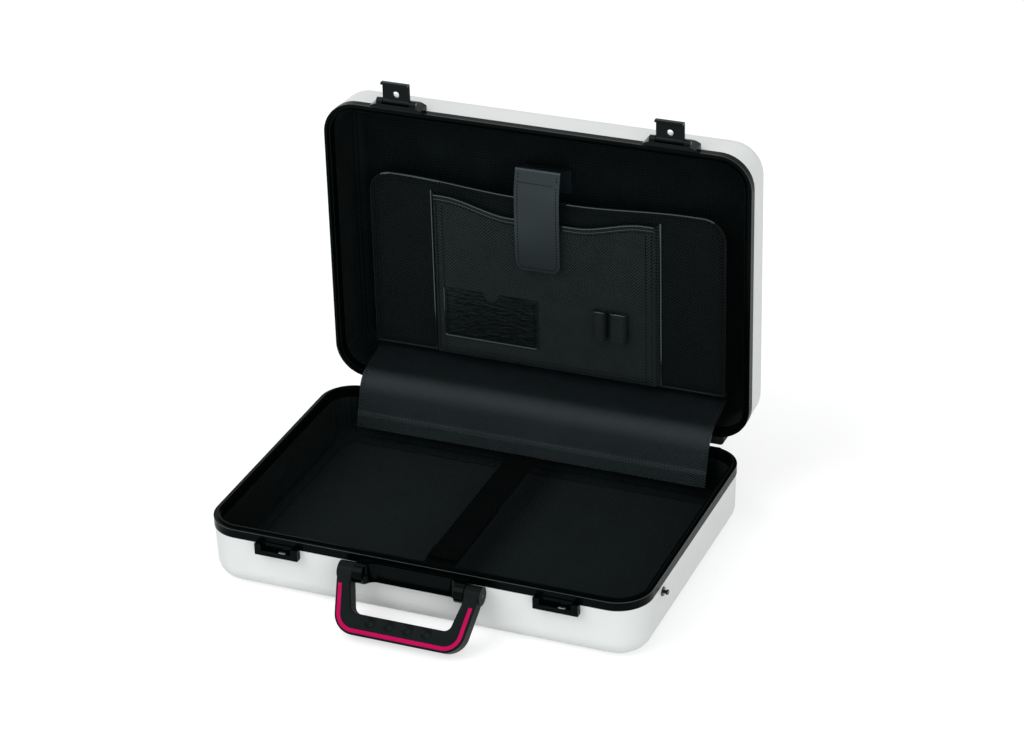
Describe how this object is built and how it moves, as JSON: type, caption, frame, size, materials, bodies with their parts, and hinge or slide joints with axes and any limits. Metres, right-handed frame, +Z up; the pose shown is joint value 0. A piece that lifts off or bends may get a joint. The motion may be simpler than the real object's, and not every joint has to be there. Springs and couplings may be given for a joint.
{
  "type": "briefcase",
  "caption": "Hard-shell briefcase with a hinged lid, lever latches, swinging handle, laptop strap and a leather document organiser in the lid.",
  "frame": {"origin": "middle of the base's underside, on the surface that the case lies on", "axes": "+Z up; the handle side faces -Y, the hinges are at +Y, +X is to the right as seen from the handle side"},
  "size_m": [0.48, 0.4427, 0.428],
  "materials": {
    "shell": "satin, pale silver white",
    "rim_profile": "satin black",
    "lining": "smooth black textile",
    "pad": "padded black textile",
    "webbing": "woven hook-and-loop webbing",
    "grained_leather": "fine grain, bound edges",
    "gusset_cloth": "thin black textile",
    "smooth_leather": "smooth satin leather, sewn edge",
    "steel": "plain zinc plated",
    "dark_steel": "black nickel",
    "black_plastic": "glossy black",
    "soft_grip": "soft-touch black",
    "stripe": "magenta inlay",
    "foot_rubber": "matt black"
  },
  "bodies": {
    "base": {"base_shell": "shell", "base_frame": "rim_profile", "base_lining": "lining", "floor_pad": "pad", "strap_front": "webbing", "strap_rear": "webbing", "strap_anchor_front": "webbing", "strap_anchor_back": "webbing", "hinge_rivets_base": "steel", "handle_bracket": "black_plastic", "hinge_leaf_base_left": "steel", "hinge_leaf_base_right": "steel", "hinge_pin_left": "steel", "hinge_pin_right": "steel", "keeper_left": "black_plastic", "keeper_right": "black_plastic", "strike_plate_left": "steel", "strike_plate_right": "steel", "handle_pin_left": "steel", "handle_pin_right": "steel", "strap_stud_left": "dark_steel", "strap_stud_right": "dark_steel", "foot_base_left": "foot_rubber", "foot_base_right": "foot_rubber"},
    "lid": {"lid_shell": "shell", "lid_frame": "rim_profile", "lid_lining": "lining", "document_panel": "grained_leather", "gusset_left": "gusset_cloth", "gusset_right": "gusset_cloth", "gusset_bottom": "gusset_cloth", "front_pocket": "grained_leather", "card_pocket": "grained_leather", "tab_anchor": "smooth_leather", "apron": "grained_leather", "hinge_rivets_lid": "steel", "pen_loop_left": "grained_leather", "pen_loop_right": "grained_leather", "hinge_leaf_lid_left": "steel", "hinge_leaf_lid_right": "steel", "latch_base_left": "black_plastic", "latch_base_right": "black_plastic", "latch_pin_left": "steel", "latch_pin_right": "steel", "foot_lid_left": "foot_rubber", "foot_lid_right": "foot_rubber"},
    "lever_left": {"latch_lever_left": "black_plastic"},
    "lever_right": {"latch_lever_right": "black_plastic"},
    "lock_left": {"lock_barrel_left": "steel"},
    "lock_right": {"lock_barrel_right": "steel"},
    "handle": {"handle_bow": "soft_grip", "handle_stripe": "stripe"},
    "tab": {"closure_tab": "smooth_leather"}
  },
  "joints": [
    {"name": "lid_hinge", "type": "hinge", "parent": "base", "child": "lid", "pos_m": [0, 0.1675, 0.068], "axis": [1, 0, 0], "range_deg": [0, 90], "deforming": ["apron"]},
    {"name": "handle_swing", "type": "hinge", "parent": "base", "child": "handle", "pos_m": [0, -0.172, 0.054], "axis": [-1, 0, 0], "range_deg": [0, 110]},
    {"name": "latch_left", "type": "hinge", "parent": "lid", "child": "lever_left", "pos_m": [-0.1495, 0.1675, 0.4055], "axis": [1, 0, 0], "range_deg": [0, 90]},
    {"name": "lock_left", "type": "hinge", "parent": "lid", "child": "lock_left", "pos_m": [-0.1495, 0.176, 0.402], "axis": [0, 0, 1], "range_deg": [0, 90]},
    {"name": "latch_right", "type": "hinge", "parent": "lid", "child": "lever_right", "pos_m": [0.1495, 0.1675, 0.4055], "axis": [1, 0, 0], "range_deg": [0, 90]},
    {"name": "lock_right", "type": "hinge", "parent": "lid", "child": "lock_right", "pos_m": [0.1495, 0.176, 0.402], "axis": [0, 0, 1], "range_deg": [0, 90]},
    {"name": "tab_lift", "type": "hinge", "parent": "lid", "child": "tab", "pos_m": [-0.004, 0.1855, 0.328], "axis": [-1, 0, 0], "range_deg": [0, 25]}
  ]
}
